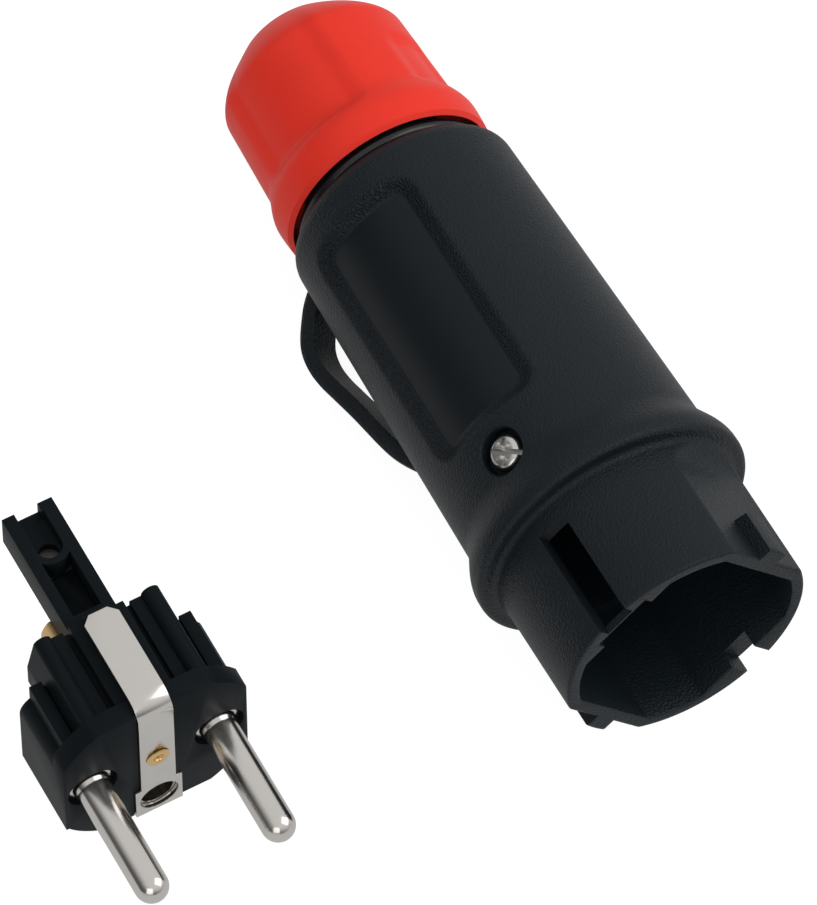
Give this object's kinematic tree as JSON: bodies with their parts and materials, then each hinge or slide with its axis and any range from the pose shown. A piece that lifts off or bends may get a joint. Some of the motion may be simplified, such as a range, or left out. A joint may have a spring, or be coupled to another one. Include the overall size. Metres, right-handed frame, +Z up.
{
  "type": "rubber power plug",
  "caption": "Earthed rubber power plug taken apart: a hollow housing with hang loop and red screw gland, and its two-pin contact insert beside it.",
  "frame": {"origin": "middle of the pair's footprint, on the surface they lie on", "axes": "+X along the plug from the cord end to the pins, +Z up, +Y from the insert to the housing"},
  "size_m": [0.1127, 0.1024, 0.0413],
  "materials": {
    "housing_rubber": "satin, fine leather grain",
    "insert_plastic": "semi-matt moulded plastic",
    "cap_red": "satin",
    "nickel": "bright nickel plate",
    "screw_steel": "zinc plated",
    "brass": "bright",
    "seal_rubber": "satin",
    "gland_plastic": "satin"
  },
  "bodies": {
    "housing_and_insert": {"housing": "housing_rubber", "housing_screw": "screw_steel", "neck_o_ring": "seal_rubber", "clamp_basket": "gland_plastic", "gland_seal": "seal_rubber", "insert_carrier": "insert_plastic", "pin_left": "nickel", "pin_right": "nickel", "terminal_left": "brass", "terminal_right": "brass", "terminal_screws": "screw_steel", "earth_strip": "nickel", "earth_rivet": "brass", "earth_socket": "nickel", "socket_spring": "screw_steel", "earth_terminal": "brass", "earth_terminal_screw": "screw_steel", "tail_nut": "screw_steel"},
    "slip_ring": {"slip_ring": "gland_plastic"},
    "cap_nut": {"cap_nut": "cap_red"}
  },
  "joints": [
    {"name": "cap_nut_travel", "type": "slide", "parent": "housing_and_insert", "child": "slip_ring", "axis": [0.9976, 0, 0.0691], "range_m": [-0.012, 0.0015]},
    {"name": "cap_nut_turn", "type": "hinge", "parent": "slip_ring", "child": "cap_nut", "pos_m": [-0.03966, 0.0307, 0.01537], "axis": [0.9976, 0, 0.0691], "range_deg": [-2880, 360]}
  ],
  "couplings": [
    {"joint": "cap_nut_travel", "follows": "cap_nut_turn", "m_per_rad": 0.00023873}
  ]
}
